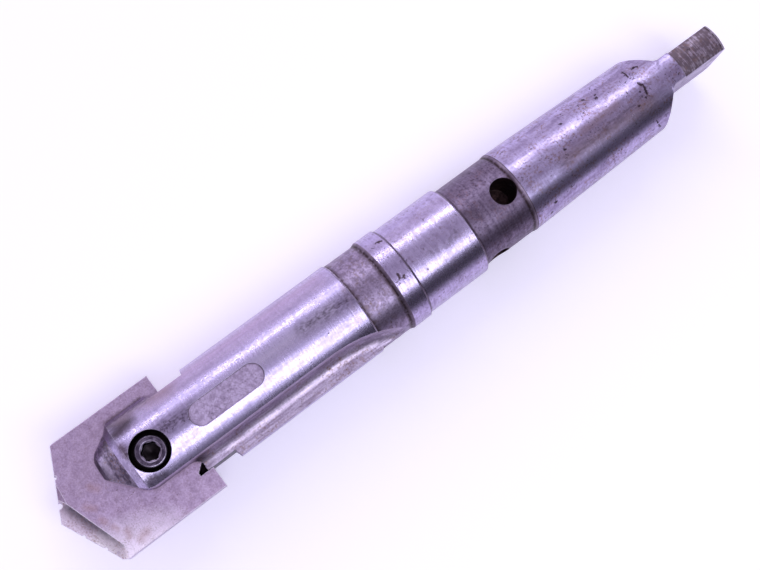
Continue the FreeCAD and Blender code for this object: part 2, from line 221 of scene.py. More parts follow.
def steel(name, clean, stained, soiled, lay, rough, mark_depth=0.008, grit=0.004, grit_size=0.4,
          patch=(6, 6, 6), patch_range=(0.42, 0.62), patch_strength=0.6, mottle=0.35, mottle_size=0.7,
          speck=0.5, speck_range=(0.6, 0.68), speck_strength=0.5, streak=0.35, scratch=0.0,
          rust="#8a6a60", rust_size=1.2, rust_strength=0.0, edge="#ddd2ea", edge_width=0.25, edge_wear=0.8,
          edge_turn=0.93, corner_grime_and_shade=0.7, lines=(), gouges=(), smudges=(), smear=(1.6, 0.5, 0.5),
          smudge_strength=0.55, washes=()):
    """Worn steel: clean metal, stained in patches, streaked along its lay, specked, darkened in its inner
    corners as dirt and as painted shade, and worn at its edges. lay is the size in mm of one tool or grinding
    mark along x, y and z, and rough the roughness where the metal is clean and where it is stained. grit is
    the height in mm of the fine pitting that breaks up its highlights. Real grinding marks lie 0.02 to 0.1 mm
    apart and real pitting is as fine, which is under half a pixel, so marks are drawn 0.4 to 0.5 mm and pitting
    0.3 to 0.4 mm wide.
    washes are tints over the clean metal, and gouges and smudges are dirt, each over marks in mm. Some washes
    are stains, and some stand for a band of light or shade that the photo shows there, so these stay in
    place under any light."""
    material = bpy.data.materials.new(name)
    material.use_nodes = True
    tree = material.node_tree
    tree.nodes.clear()
    place = add(tree, "ShaderNodeTexCoord", out="Object")
    station = add(tree, "ShaderNodeSeparateXYZ", {0: place})
    patches = grain(tree, place, patch, *patch_range, detail=4.0)
    patches = add(tree, "ShaderNodeMath", {0: patches, 1: patch_strength}, operation="MULTIPLY")
    cloud = grain(tree, place, (mottle_size,) * 3, 0.35, 0.65, detail=4.0)
    cloud = add(tree, "ShaderNodeMath", {0: cloud, 1: mottle}, operation="MULTIPLY")
    marks = grain(tree, place, lay, 0.3, 0.7, detail=2.0)
    streaks = add(tree, "ShaderNodeMath", {0: marks, 1: streak}, operation="MULTIPLY")
    stain = add(tree, "ShaderNodeMath", {0: patches, 1: cloud}, operation="ADD")
    stain = add(tree, "ShaderNodeMath", {0: stain, 1: streaks}, operation="ADD", use_clamp=True)
    colour = add(tree, "ShaderNodeMix", {"Factor": stain, "A": linear(clean), "B": linear(stained)}, out=2,
                 data_type="RGBA")
    ragged = uneven(tree, place)
    for tint, strength, marks_of_it in washes:
        wash = add(tree, "ShaderNodeMath", {0: spots(tree, ragged, marks_of_it, 1.0), 1: strength},
                   operation="MULTIPLY")
        colour = add(tree, "ShaderNodeMix", {"Factor": wash, "A": colour, "B": linear(tint)}, out=2,
                     data_type="RGBA")
    if rust_strength:
        bloom = grain(tree, place, (rust_size,) * 3, 0.5, 0.68, detail=4.0)
        spread = grain(tree, place, (6 * rust_size,) * 3, 0.42, 0.6)
        bloom = add(tree, "ShaderNodeMath", {0: bloom, 1: spread}, operation="MULTIPLY")
        bloom = add(tree, "ShaderNodeMath", {0: bloom, 1: rust_strength}, operation="MULTIPLY")
        colour = add(tree, "ShaderNodeMix", {"Factor": bloom, "A": colour, "B": linear(rust)}, out=2,
                     data_type="RGBA")
    specks = grain(tree, place, (speck,) * 3, *speck_range, detail=1.0)
    crowd = grain(tree, place, (7 * speck,) * 3, 0.4, 0.6)
    specks = add(tree, "ShaderNodeMath", {0: specks, 1: crowd}, operation="MULTIPLY")
    soil_and_shade = add(tree, "ShaderNodeMath", {0: specks, 1: speck_strength}, operation="MULTIPLY")
    if lines:
        wander = grain(tree, place, (1.0,) * 3, 0.2, 0.5)
        rings = ring_lines(tree, station, lines)
        rings = add(tree, "ShaderNodeMath", {0: rings, 1: wander}, operation="MULTIPLY")
        soil_and_shade = add(tree, "ShaderNodeMath", {0: soil_and_shade, 1: rings}, operation="MAXIMUM")
    if smudges:
        broken = grain(tree, place, smear, 0.3, 0.65, detail=4.0)
        dirty = spots(tree, ragged, smudges, 1.0)
        dirty = add(tree, "ShaderNodeMath", {0: dirty, 1: broken}, operation="MULTIPLY")
        dirty = add(tree, "ShaderNodeMath", {0: dirty, 1: smudge_strength}, operation="MULTIPLY")
        soil_and_shade = add(tree, "ShaderNodeMath", {0: soil_and_shade, 1: dirty}, operation="MAXIMUM")
    if scratch:
        for turn in (32, -55, 80):
            hair = grain(tree, place, (5, 0.14, 0.14), 0.7, 0.74, detail=0.0, turn=turn)
            hair = add(tree, "ShaderNodeMath", {0: hair, 1: scratch}, operation="MULTIPLY")
            soil_and_shade = add(tree, "ShaderNodeMath", {0: soil_and_shade, 1: hair}, operation="MAXIMUM")
    if gouges:
        struck = spots(tree, ragged, gouges, 0.6)
        soil_and_shade = add(tree, "ShaderNodeMath", {0: soil_and_shade, 1: struck}, operation="MAXIMUM")
    # Inner corners darken by how hidden they are: partly dirt, partly painted shade
    hollow = add(tree, "ShaderNodeAmbientOcclusion", {"Distance": 1.2 * MM}, out="AO", samples=8)
    corner = add(tree, "ShaderNodeMapRange", {0: hollow, 1: 0.85, 2: 0.45, 3: 0.0, 4: corner_grime_and_shade}, clamp=True)
    soil_and_shade = add(tree, "ShaderNodeMath", {0: soil_and_shade, 1: corner}, operation="MAXIMUM")
    # Worn edges, where the rounded normal leans away from the true one; a near-white edge tint also paints a
    # highlight there
    rounded = add(tree, "ShaderNodeBevel", {"Radius": edge_width * MM}, samples=6)
    true_normal = add(tree, "ShaderNodeNewGeometry", out="Normal")
    turn = add(tree, "ShaderNodeVectorMath", {0: rounded, 1: true_normal}, out="Value",
               operation="DOT_PRODUCT")
    worn = add(tree, "ShaderNodeMapRange", {0: turn, 1: 0.997, 2: edge_turn, 3: 0.0, 4: edge_wear},
               clamp=True)
    # The edge tint goes over worn edges, and the soiled tint over dirt and over the painted shade of inner
    # corners
    for cover, tint in ((worn, edge), (soil_and_shade, soiled)):
        colour = add(tree, "ShaderNodeMix", {"Factor": cover, "A": colour, "B": linear(tint)}, out=2,
                     data_type="RGBA")
    dull = add(tree, "ShaderNodeMath", {0: stain, 1: soil_and_shade}, operation="MAXIMUM")
    roughness = add(tree, "ShaderNodeMapRange", {0: dull, 3: rough[0], 4: rough[1]}, clamp=True)
    roughness = add(tree, "ShaderNodeMath", {0: worn, 1: EDGE_SCATTER, 2: roughness},
                    operation="MULTIPLY_ADD", use_clamp=True)
    pitting = grain(tree, place, (grit_size,) * 3, 0.2, 0.8, detail=3.0)
    pitting = add(tree, "ShaderNodeMath", {0: pitting, 1: grit / mark_depth}, operation="MULTIPLY")
    relief = add(tree, "ShaderNodeMath", {0: marks, 1: pitting}, operation="ADD")
    relief = add(tree, "ShaderNodeMath", {0: relief, 1: soil_and_shade}, operation="SUBTRACT")
    bumped = add(tree, "ShaderNodeBump", {"Height": relief, "Distance": mark_depth * MM, "Normal": rounded})
    shader = add(tree, "ShaderNodeBsdfPrincipled", {
        "Base Color": colour,
        "Metallic": 1.0,
        "Roughness": roughness,
        "Normal": bumped,
    })
    add(tree, "ShaderNodeOutputMaterial", {"Surface": shader})
    return material


def on_round(radius, station, angle):
    """Point at a radius and a station, turned by angle degrees from the crest towards +Y."""
    angle = math.radians(angle)
    return (station, radius * math.sin(angle), radius * math.cos(angle))


def on_taper(station, angle):
    return on_round(GAUGE_RADIUS - TAPER_PER_MM * station, station, angle)


def on_body(station, angle):
    return on_round(BODY_RADIUS, station, angle)


def half_turned(marks):
    """Marks and the same ones on the side that half a turn of the drill brings up."""
    return marks + tuple(((a[0], -a[1], -a[2]), (b[0], -b[1], -b[2]), half) for a, b, half in marks)


def pit(point, half):
    """A mark that is nearly a point."""
    return (point, Vector(point) + Vector((0.15, 0, 0)), half)


# Taper, cylindrically ground: fine marks round the bar, satin, with stained pits and knocks at its small end
taper_ground = steel(
    "ground_taper_steel", "#c0b2da", "#9383a6", "#43353f", lay=(0.5, 18, 18), rough=(0.25, 0.38), grit=0.005,
    patch=(7, 1.6, 1.6), patch_range=(0.42, 0.66), mottle=0.4, speck=0.55, speck_range=(0.62, 0.68),
    speck_strength=0.8, streak=0.3, rust_size=0.7, rust_strength=0.8,
    gouges=(
        (on_taper(42.0, 40), on_taper(41.6, 27), 0.45),
        (on_taper(44.4, 35), on_taper(45.6, 33), 0.55),
        (on_taper(42.4, 9), on_taper(42.9, 1), 0.5),
        (on_taper(42.9, 1), on_taper(42.5, -9), 0.5),
        (on_taper(41.5, -51), on_taper(42.5, -69), 0.35),
        pit(on_taper(41.0, -1), 0.5),
        pit(on_taper(41.5, -13), 0.5),
        pit(on_taper(38.5, -16), 0.5),
        pit(on_taper(40.0, -63), 0.4),
        pit(on_taper(28.5, 40), 0.6),
        pit(on_taper(31.0, 29), 0.6),
        pit(on_taper(31.5, 34), 0.4),
        pit(on_taper(19.0, 28), 0.4),
        pit(on_taper(15.0, -4), 0.6),
        pit(on_taper(6.0, -56), 0.7),
        pit(on_taper(4.5, -70), 0.6),
    ),
    smear=(2.2, 0.6, 0.6),
    smudges=(
        (on_taper(40, -10), on_taper(12, -18), 2.6),
        (on_taper(36, -28), on_taper(46, -24), 3.0),
    ),
    washes=(
        ("#8c7276", 0.55, (
            (on_taper(42, -22), on_taper(14, -14), 3.2),
            (on_taper(34, 4), on_taper(22, 0), 2.0),
        )),
    ))
# Body, cylindrically ground and handled: brighter and smoother, with a fine sparkle in its highlights, a
# painted highlight along its crest and painted shade by the neck
body_ground = steel(
    "ground_body_steel", "#c4b6dc", "#9789ae", "#524456", lay=(0.45, 14, 14), rough=(0.23, 0.35), grit=0.004,
    grit_size=0.3, patch=(12, 1.6, 1.6), patch_range=(0.42, 0.66), patch_strength=0.4, mottle=0.35,
    speck_range=(0.66, 0.74), streak=0.3, scratch=0.2, lines=((MARKING_FRONT - 0.1, 0.5),),
    gouges=(
        (on_body(-107.0, 13), on_body(-107.5, 6), 0.16),
        (on_body(-106.2, 15), on_body(-106.6, 7), 0.13),
        (on_body(-105.5, 16), on_body(-106.0, 4), 0.16),
        (on_body(-105.0, 12), on_body(-105.3, 6), 0.13),
        (on_body(-104.3, 14), on_body(-104.8, 3), 0.16),
        (on_body(-103.4, 12), on_body(-103.8, 5), 0.13),
        (on_body(-101.2, 11), on_body(-101.6, 3), 0.16),
        (on_body(-100.4, 8), on_body(-100.6, 1), 0.13),
        (on_body(-63.0, -14), on_body(-61.5, -12), 0.13),
        (on_body(-70.0, -27), on_body(-68.0, -25), 0.13),
        pit(on_body(-71.0, -16), 0.25),
    ),
    smear=(1.0, 0.5, 0.5), smudge_strength=0.95,
    smudges=(
        (on_body(-52, 4), on_body(-66, 8), 3.0),
        (on_body(-98, 8), on_body(-107, 11), 3.0),
        (on_body(-116.8, 21), on_body(-116.8, 12), 1.8),
        (on_body(-116.5, 56), on_body(-115.0, 42), 3.5),
        (on_body(-117.0, 64), on_body(-106.0, 62), 4.0),
        (on_body(-114.5, -25), on_body(-116.5, -27), 1.6),
    ),
    washes=(
        ("#5d4d52", 0.8, ((on_body(-118.0, 62), on_body(-114.0, 50), 4.5),)),
        # Painted highlight along the crest
        ("#e4d9f6", 0.5, ((on_body(-58.0, 7), on_body(-98.0, 7), 2.6),)),
        ("#b398ae", 0.55, ((on_body(-56.0, 54), on_body(-104.0, 54), 5.0),)),
        # Painted shade beside the neck
        ("#3c3238", 0.9, ((on_body(-116.5, 38), on_body(-112.5, 44), 3.4),)),
        ("#8a7d90", 0.7, ((on_body(-116.8, -14), on_body(-115.8, -20), 1.6),)),
        ("#4a3f49", 0.7, ((on_body(-116.0, -26), on_body(-112.5, -29), 1.8),)),
        ("#6f5c60", 0.7, ((on_body(-117.0, 22), on_body(-117.0, 10), 1.6),)),
        ("#8d7478", 0.6, ((on_body(-113.0, 60), on_body(-101.0, 50), 4.0),)),
        ("#8d7478", 0.5, ((on_body(-54.0, -22), on_body(-52.0, 20), 1.2),)),
    ))
# Seal land, plunge ground and polished by its seal: the brightest ring, with stained spots
land_ground = steel(
    "polished_seal_land_steel", "#c4b6dc", "#9a8aae", "#4c3e46", lay=(0.45, 40, 40), rough=(0.24, 0.31),
    grit=0.003, grit_size=0.3, patch=(1.6, 1.6, 1.6), patch_range=(0.42, 0.7), patch_strength=0.45, mottle=0.3,
    speck=0.6, speck_range=(0.64, 0.7), speck_strength=0.7, streak=0.4, rust_size=0.7, rust_strength=0.25,
    lines=((LAND_CHAMFER + 0.25, 0.4), (LAND_FRONT, 0.3)),
    gouges=(pit(on_round(LAND_RADIUS, -32.5, -21), 0.45),),
    smear=(0.8, 0.8, 0.8),
    smudges=(
        (on_round(LAND_RADIUS, -29.5, -8), on_round(LAND_RADIUS, -28, -10), 1.5),
        (on_round(LAND_RADIUS, -26.5, -61), on_round(LAND_RADIUS, -25.5, -56), 1.4),
        (on_round(LAND_RADIUS, -25, -14), on_round(LAND_RADIUS, -21, -6), 1.8),
    ))
# Collar, ground on the same wheel but rubbed by chips
collar_ground = steel(
    "ground_collar_steel", "#c0b1d8", "#9282a6", "#4c3e47", lay=(0.45, 40, 40), rough=(0.23, 0.32), grit=0.003,
    grit_size=0.3, patch=(1.6, 1.6, 1.6), patch_range=(0.45, 0.68), patch_strength=0.45, speck=0.6,
    speck_range=(0.6, 0.68), speck_strength=0.7, lines=((LAND_FRONT - 0.2, 0.5),),
    gouges=(
        (on_round(COLLAR_RADIUS, -39.4, -6), on_round(COLLAR_RADIUS, -39.7, -10), 0.55),
        (on_round(COLLAR_RADIUS, -38.3, -10), on_round(COLLAR_RADIUS, -38.6, -13), 0.5),
        pit(on_round(COLLAR_RADIUS, -39.0, -11), 0.4),
        (on_round(COLLAR_RADIUS, -38.3, 40), on_round(COLLAR_RADIUS, -37.0, 38), 0.4),
    ))
# Marking ring, turned and left: dull, with brown lines in both corners
marking_turned = steel(
    "turned_marking_ring_steel", "#aa99ba", "#807088", "#4f4048", lay=(0.5, 30, 30), rough=(0.34, 0.46),
    patch=(1.5, 1.5, 1.5), patch_strength=0.6, mottle=0.5, mottle_size=0.6, streak=0.3, speck=0.4,
    rust="#7a645f", rust_size=0.8, rust_strength=0.6, lines=((MARKING_FRONT, 1.1), (LEAD_FRONT, 0.9)))
# Lead cones and shoulders, turned with a form tool: brown in their corners, paler towards their rims
turned_lead = steel(
    "form_turned_steel", "#8f7f92", "#74647a", "#3d3036", lay=(0.4, 30, 30), rough=(0.38, 0.5), patch=(2, 2, 2),
    edge="#b5a7bd", edge_wear=0.6, lines=((LEAD_FRONT, 0.9), (LEAD_END, 0.8), (0.0, 0.25)))
# Coolant ring, turned and darkened by oil: low mauve-brown gloss with paler bruises
coolant_turned = steel(
    "oil_darkened_ring_steel", "#897994", "#63546a", "#3e3138", lay=(0.5, 30, 30), rough=(0.38, 0.48),
    patch=(1.1, 1.1, 1.1), patch_range=(0.38, 0.65), patch_strength=0.45, mottle=0.4, mottle_size=0.5,
    streak=0.45, rust="#6a4640", rust_size=0.7, rust_strength=0.4, edge="#ab9cb2",
    lines=((COOLANT_FRONT, 0.7), (LEAD_END, 0.6)),
    smudges=(
        (on_round(RING_RADIUS, -15.8, 4), on_round(RING_RADIUS, -13.5, -8), 1.8),
        (on_round(RING_RADIUS, -9.5, -9), on_round(RING_RADIUS, -8.0, -12), 1.6),
        (on_round(RING_RADIUS, -10, -42), on_round(RING_RADIUS, -3, -46), 3.0),
    ))
# Tang end, rough turned: dark violet-brown with lighter streaks round it
tang_turned = steel(
    "rough_turned_tang_steel", "#b4a4ba", "#6f606c", "#3a2b2e", lay=(0.4, 5, 5), rough=(0.36, 0.52),
    mark_depth=0.015, grit=0.008, patch=(2, 2, 2), speck=0.6, streak=0.8, rust_size=0.9, rust_strength=0.4,
    lines=((TANG_STEP + 0.6, 0.5), (TANG_END - 1.3, 0.25)))
# Tang flats and run-outs, milled: flat and plain grey
tang_milled = steel(
    "milled_tang_steel", "#b7a7ca", "#91819d", "#4b3f49", lay=(3, 0.5, 3), rough=(0.32, 0.46), patch=(3, 3, 3))
# Flute, milled lengthwise: long streaks, a painted highlight along the fillet, painted shade by the nose, with
# a rust tint where chips have lain
flute_milled = steel(
    "milled_flute_steel", "#ddcee9", "#ad9cb7", "#6b5856", lay=(7, 0.4, 0.4), rough=(0.44, 0.58),
    mark_depth=0.016, grit=0.008, patch=(8, 1.0, 1.0), patch_range=(0.4, 0.68), patch_strength=0.6, mottle=0.45,
    mottle_size=0.45, speck=0.4, speck_range=(0.6, 0.7), streak=0.6, rust="#94756c", rust_size=0.8,
    rust_strength=0.8, corner_grime_and_shade=0.15,
    washes=(
        # Painted shade in the flute by the nose
        ("#574a55", 0.85, half_turned((((-116.5, -7.3, 5.0), (-104.0, -8.0, 4.0), 4.5),))),
        # Painted highlight along the fillet
        ("#f8e6ff", 0.8, half_turned((
            ((-97.0, -9.9, 2.3), (-62.0, -9.7, 2.3), 0.9),
            ((-62.0, -9.7, 2.3), (-52.0, -10.7, 2.8), 0.8),
        ))),
    ))
# Flats of the neck beside the blade, milled: dark with grit and with painted shade
neck_milled = steel(
    "milled_neck_steel", "#4e4454", "#3a313e", "#1f191c", lay=(3, 0.5, 0.5), rough=(0.36, 0.5), patch=(2, 2, 2),
    edge="#8f8396", edge_wear=0.5)
# Flat pad, end milled: dull mauve grey
pad_milled = steel(
    "end_milled_pad_steel", "#cab8da", "#a08eac", "#54444c", lay=(0.5, 0.5, 0.5), rough=(0.4, 0.52),
    grit=0.01, grit_size=0.3, patch=(1.2, 1.2, 1.2), mottle=0.4, mottle_size=0.4, edge="#8a7b8c", scratch=0.3)
# Neck and nose, milled and rubbed by hot chips: dark grey with rust specks and a painted highlight across the
# nose near its front
nose_milled = steel(
    "chip_worn_nose_steel", "#cbbcdc", "#675c71", "#372a30", lay=(0.5, 4, 4), rough=(0.22, 0.38), grit=0.006,
    patch=(1.2, 2.4, 2.4), patch_range=(0.4, 0.64), patch_strength=0.7, mottle=0.35, speck=0.4,
    speck_range=(0.58, 0.68), streak=0.4, rust_size=0.6, rust_strength=0.7, corner_grime_and_shade=0.6,
    smudges=(((-119.5, 9.5, 8.0), (-120.5, 6.0, 9.0), 3.0), ((-119.0, 0, 9.5), (-119.5, -6, 8.5), 1.8)),
    washes=(
        ("#5f5868", 0.75, (((-119.6, 8.6, 7.2), (-117.2, 8.4, 10.2), 2.6),)),
        # Painted highlight across the nose near its front
        ("#d5c8e4", 0.7, (((-122.3, 6.5, 8.5), (-122.4, -0.5, 8.5), 1.4),)),
    ))
# Front lip of the nose, where chips strike: dark and steep
nose_lip = steel(
    "struck_nose_lip_steel", "#6a5f72", "#493f4d", "#2d2528", lay=(0.8, 3, 3), rough=(0.3, 0.45),
    patch=(1.5, 1.5, 1.5), edge="#9b8fa2", edge_wear=0.5, corner_grime_and_shade=0.5)
# Slot faces and counterbore: cut steel that keeps black oil
oily_cut = steel(
    "oily_cut_steel", "#33292f", "#211a1e", "#110d10", lay=(0.6, 0.6, 0.6), rough=(0.5, 0.65),
    patch=(2, 2, 2), edge="#5d4c50", edge_wear=0.5)
# Coolant holes, drilled: rust-brown at the mouth, dark with oil further in
hole_drilled = steel(
    "drilled_hole_steel", "#5a4446", "#35272a", "#140f11", lay=(6, 0.5, 0.5), rough=(0.4, 0.55),
    patch=(1.5, 1.5, 1.5), edge="#8a7378", edge_wear=0.6, corner_grime_and_shade=0.3)
# Blade faces, surface ground high-speed steel: even violet-brown stain with dark specks and rust, a
# painted highlight towards one corner, painted shade where the holder's jaw meets it and a painted highlight
# along its edges
blade_ground = steel(
    "ground_blade_steel", "#c7b0d1", "#a28baa", "#6a5250", lay=(0.7, 6, 6), rough=(0.38, 0.48), grit=0.006,
    grit_size=0.35, patch=(2.0, 2.0, 2.0), patch_range=(0.38, 0.7), patch_strength=0.5, mottle=0.45,
    mottle_size=0.5, speck=0.3, speck_range=(0.55, 0.7), speck_strength=0.45, streak=0.2, rust="#8c7076",
    # Edge tint near white: a painted highlight along the edges and the ridge, over their wear
    rust_size=0.4, rust_strength=0.45, scratch=0.2, edge="#fbf4ff", edge_width=0.35, edge_wear=1.0,
    edge_turn=0.99, corner_grime_and_shade=0.5,
    gouges=(
        ((-123.5, -5.1, HALF_BLADE), (-122.4, -4.6, HALF_BLADE), 0.14),
        ((-122.4, -4.6, HALF_BLADE), (-120.4, -4.5, HALF_BLADE), 0.1),
        pit((-124.1, -1.6, HALF_BLADE), 0.25),
    ),
    smudges=(((-118, 13, HALF_BLADE), (-131, 4, HALF_BLADE), 5.0),), smudge_strength=0.25,
    washes=(
        # Painted highlight towards one corner
        ("#fbeeff", 1.0, (((-131, -17, HALF_BLADE), (-124, -20, HALF_BLADE), 12.0),)),
        # Painted shade on the blade along the holder's jaw
        ("#4a3d45", 0.75, half_turned((((-117.0, 12.9, HALF_BLADE), (-107.0, 12.9, HALF_BLADE), 1.0),))),
        ("#a47f80", 0.5, (
            ((-130.8, -2.0, HALF_BLADE), (-132.2, -0.6, HALF_BLADE), 1.4),
            ((-131.0, -5.0, HALF_BLADE), (-130.6, -6.4, HALF_BLADE), 1.2),
            ((-127.6, -11.1, HALF_BLADE), (-127.9, -12.4, HALF_BLADE), 1.5),
            ((-129.7, -8.2, HALF_BLADE), (-129.2, -9.3, HALF_BLADE), 1.1),
            ((-127.7, 1.5, HALF_BLADE), (-128.6, 2.6, HALF_BLADE), 1.6),
            ((-126.0, -14.5, HALF_BLADE), (-124.0, -14.0, HALF_BLADE), 1.8),
        )),
    ))
# Chip curlers, ground with a dressed wheel: shiny, with a painted dark reflection under their ridge, a painted
# highlight at their ends and a painted highlight along their edges
curler_ground = steel(
    "wheel_ground_curler_steel", "#f6e8fc", "#cfbace", "#86706c", lay=(0.5, 5, 5), rough=(0.24, 0.38),
    grit=0.005, patch=(1.4, 1.4, 1.4), patch_range=(0.42, 0.7), patch_strength=0.35, mottle=0.35,
    mottle_size=0.5,
    # Edge tint near white: a painted highlight along the edges and the ridge, over their wear
    speck_strength=0.3, rust="#a87c74", rust_size=0.5, rust_strength=0.5, edge="#fbf4ff", edge_width=0.35,
    edge_wear=1.0, edge_turn=0.99, corner_grime_and_shade=0.0,
    washes=(
        # Painted dark reflection under the ridge
        ("#464053", 0.95, half_turned((
            ((-134.8, 1.5, 2.0), (-132.9, -4.5, 2.0), 2.9),
            ((-132.9, -4.5, 2.0), (-131.5, -9.0, 2.0), 2.3),
            ((-131.5, -9.0, 2.0), (-130.2, -13.0, 2.1), 1.4),
        ))),
        # Painted highlight at the ends of the curlers
        ("#fff6ff", 0.95, half_turned((((-135.0, -9.5, 1.5), (-131.5, -16.0, 1.6), 4.0),))),
    ))
# Flanks and edges of the blade, freshly ground
flank_ground = steel(
    "fresh_ground_flank_steel", "#c2b2d0", "#a191ac", "#5f5058", lay=(3, 3, 0.5), rough=(0.28, 0.4),
    patch=(4, 4, 4))
# Clamp screw, black oxide over alloy steel: dark violet grey
screw_oxide = steel(
    "black_oxide_screw_steel", "#786b81", "#42384a", "#2a2328", lay=(1.5, 1.5, 1.5), rough=(0.32, 0.45),
    patch=(1.4, 1.4, 1.4), patch_strength=0.9, mottle_size=0.4, speck=0.35, edge="#b5a9c0",
    edge_width=0.12, edge_wear=0.6, corner_grime_and_shade=0.2)
# Chamfers of the screw's head, where keys and fingers have worn the oxide through
screw_worn = steel(
    "worn_through_oxide_steel", "#cdc1db", "#90829a", "#4a3f49", lay=(1, 1, 1), rough=(0.3, 0.42),
    patch=(0.9, 0.9, 0.9), patch_strength=0.5, edge_width=0.08, corner_grime_and_shade=0.1)
# Inside of the hexagon, where oxide and oil stay
socket_oxide = steel(
    "black_oxide_socket_steel", "#2b2429", "#171316", "#0b090a", lay=(1, 1, 1), rough=(0.3, 0.45),
    edge="#8d8094", edge_wear=0.6)


def holder_finish(x, y, z, facing):
    """Material of a facet of the holder, from where it lies in mm and where it faces."""
    radius = math.hypot(y, z)
    outward = (facing.y * y + facing.z * z) / max(radius, 0.001)
    square_on = abs(facing.x) > 0.99
    by_screw = math.hypot(x - SCREW_STATION, y) < COUNTERBORE_RADIUS
    if by_screw and (abs(facing.z) < 0.3 or z < HEAD_SEAT + 0.1):
        return oily_cut
    if x < SLOT_BOTTOM + 0.1 and abs(z) < HALF_SLOT + 0.05:
        return oily_cut
    if x > LEAD_END:
        if x > 0 and outward < 0.95 and not square_on and abs(y) < GAUGE_RADIUS and x < TANG_STEP:
            return tang_milled
        if abs(facing.y) > 0.99 and abs(y) < TANG_FLAT + 0.1:
            return tang_milled
        if x > TANG_STEP - 0.1:
            return tang_turned
        return taper_ground if x > 0 else turned_lead
    if radius < HOLE_REACH and x > LEAD_FRONT:
        return hole_drilled
    if outward < -0.3 and radius < BORE_REACH:
        return oily_cut
    if x > COOLANT_FRONT:
        return coolant_turned if outward > 0.9 else hole_drilled
    if x > LAND_FRONT:
        return land_ground if outward > 0.99 else turned_lead
    if x > COLLAR_FRONT and not square_on and outward > 0.6:
        return collar_ground if outward > 0.99 else turned_lead
    if x > LEAD_FRONT and outward > 0.6:
        return turned_lead
    if x > MARKING_FRONT and outward > 0.99:
        return marking_turned
    if x > BODY_CHAMFER and square_on:
        return turned_lead
    if x < NOSE_FACE + 1.0:
        return nose_lip
    if x < SHOULDER_FRONT:
        return body_ground if x > CONE_FRONT and outward > 0.5 else nose_milled
    on_pad_floor = abs(z - PAD_FLOOR) < 0.05 and facing.z > 0.999
    on_pad_wall = z > PAD_FLOOR and abs(y) < PAD_HALF_WIDTH and abs(facing.z) < 0.1
    if on_pad_floor or on_pad_wall:
        return pad_milled
    if outward > 0.98 and radius > BODY_RADIUS - 0.3:
        return body_ground
    if abs(abs(y) - NECK_FLAT) < 0.1 and abs(facing.y) > 0.99:
        return neck_milled
    return flute_milled


THINNING_FACING = Vector((-math.sin(THINNING_ANGLE), 0, math.cos(THINNING_ANGLE)))


def blade_finish(x, y, z, facing):
    """Material of a facet of the blade."""
    if abs(facing.z) > 0.999 and abs(z) > HALF_BLADE - 0.02:
        return blade_ground
    if abs(facing.z) > 0.3:
        tilt = facing if facing.z > 0 else Vector((facing.x, -facing.y, -facing.z))
        return blade_ground if tilt.dot(THINNING_FACING) > 0.996 else curler_ground
    return flank_ground


def dress(node, name, body, finish, smooth_below, turned_finishes=()):
    """Merged copy of a CAD node with a finish on each facet, shown in its place. Edges stay crisp where two
    finishes meet or turn by more than smooth_below degrees, and the facets of turned finishes are shaded as
    true rounds about the axis."""
    mesh = bpy.data.meshes.new(name)
    shape = bmesh.new()
    shape.from_mesh(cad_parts[node].data)
    bmesh.ops.remove_doubles(shape, verts=shape.verts, dist=SOLID_MERGE * MM)
    used = []
    for facet in shape.faces:
        facet.smooth = True
        material = finish(*(facet.calc_center_median() / MM), facet.normal)
        if material not in used:
            used.append(material)
            mesh.materials.append(material)
        facet.material_index = used.index(material)
    for edge in shape.edges:
        sides = edge.link_faces
        if len(sides) == 2:
            same = sides[0].material_index == sides[1].material_index
            bend = math.degrees(edge.calc_face_angle())
            edge.smooth = bend < (smooth_below if same else CRISP_BEND)
    shape.to_mesh(mesh)
    shape.free()
    facings = [Vector(corner.vector) for corner in mesh.corner_normals]
    for facet in mesh.polygons:
        if mesh.materials[facet.material_index] not in turned_finishes:
            continue
        if abs(facet.normal.x) > SHOULDER_FACING:
            continue
        for loop in facet.loop_indices:
            x, y, z = mesh.vertices[mesh.loops[loop].vertex_index].co
            across = math.sqrt(1 - facet.normal.x ** 2) / math.hypot(y, z)
            facings[loop] = Vector((facet.normal.x, y * across, z * across))
    mesh.normals_split_custom_set(facings)
    piece = bpy.data.objects.new(name, mesh)
    bpy.context.scene.collection.objects.link(piece)
    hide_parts(node)
    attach(piece, body)
    return piece


